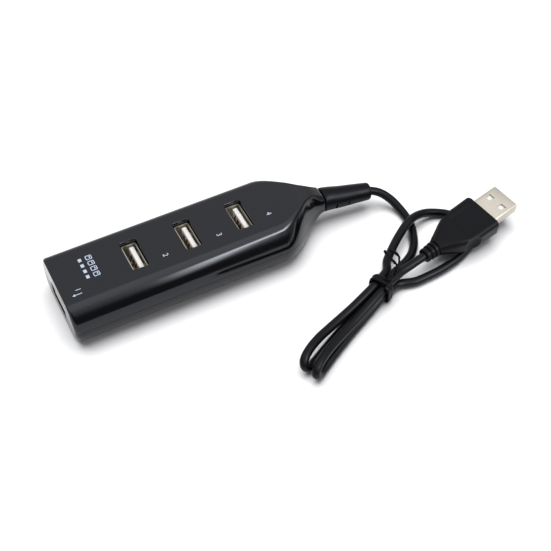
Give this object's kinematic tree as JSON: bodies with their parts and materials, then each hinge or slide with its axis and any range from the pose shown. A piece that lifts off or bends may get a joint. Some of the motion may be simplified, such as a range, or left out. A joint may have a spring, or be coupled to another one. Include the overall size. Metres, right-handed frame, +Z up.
{
  "type": "usb hub",
  "caption": "Slim stick-shaped USB hub with one port in the end and more standing in the top, and a short fixed cable that is folded, tied and ends in a plug.",
  "frame": {"origin": "centre of the underside of the hub itself, measured without the cable, the tie and the plug: halfway between the end face with port 1 and the tip of the strain relief, on the table", "axes": "+X along the hub from the end port towards the cable, +Y across it, away from the folded cable, +Z up out of the standing ports"},
  "size_m": [0.1704, 0.0859, 0.0188],
  "materials": {
    "case_plastic": "polished black ABS",
    "soft_plastic": "satin black PVC",
    "cable_sheath": "satin black PVC sheath",
    "tie_plastic": "black coated wire",
    "plated_steel": "nickel-plated stamped steel",
    "insulator": "off-white nylon",
    "contact_metal": "gold-flashed spring strip",
    "board": "green solder mask",
    "chip_resin": "black moulded resin",
    "capacitor_sleeve": "dark blue sleeve",
    "ceramic": "tan ceramic",
    "core_red": "red insulation",
    "core_white": "white insulation",
    "core_green": "green insulation",
    "core_black": "black insulation"
  },
  "bodies": {
    "root": {"top_shell": "case_plastic", "bottom_shell": "case_plastic", "strain_relief": "soft_plastic", "port_1_shell": "plated_steel", "port_1_tongue": "insulator", "port_1_contact_1": "contact_metal", "port_1_contact_2": "contact_metal", "port_1_contact_3": "contact_metal", "port_1_contact_4": "contact_metal", "port_2_shell": "plated_steel", "port_2_tongue": "insulator", "port_2_contact_1": "contact_metal", "port_2_contact_2": "contact_metal", "port_2_contact_3": "contact_metal", "port_2_contact_4": "contact_metal", "port_3_shell": "plated_steel", "port_3_tongue": "insulator", "port_3_contact_1": "contact_metal", "port_3_contact_2": "contact_metal", "port_3_contact_3": "contact_metal", "port_3_contact_4": "contact_metal", "port_4_shell": "plated_steel", "port_4_tongue": "insulator", "port_4_contact_1": "contact_metal", "port_4_contact_2": "contact_metal", "port_4_contact_3": "contact_metal", "port_4_contact_4": "contact_metal", "port_1_foot": "insulator", "circuit_board": "board", "hub_controller_chip": "chip_resin", "crystal": "plated_steel", "bulk_capacitor": "capacitor_sleeve", "ceramic_capacitor_1": "ceramic", "resistor_1": "chip_resin", "ceramic_capacitor_2": "ceramic", "resistor_2": "chip_resin", "ceramic_capacitor_3": "ceramic", "resistor_3": "chip_resin", "ceramic_capacitor_4": "ceramic", "resistor_4": "chip_resin", "cord_core_red": "core_red", "cord_core_white": "core_white", "cord_core_green": "core_green", "cord_core_black": "core_black", "cable_from_hub": "cable_sheath", "cable_hank": "cable_sheath", "cable_far_loop": "cable_sheath", "cable_to_plug": "cable_sheath", "twist_tie": "tie_plastic", "plug_grip": "soft_plastic", "plug_shell": "plated_steel", "plug_tongue": "insulator", "plug_contact_1": "contact_metal", "plug_contact_2": "contact_metal", "plug_contact_3": "contact_metal", "plug_contact_4": "contact_metal"}
  },
  "joints": []
}
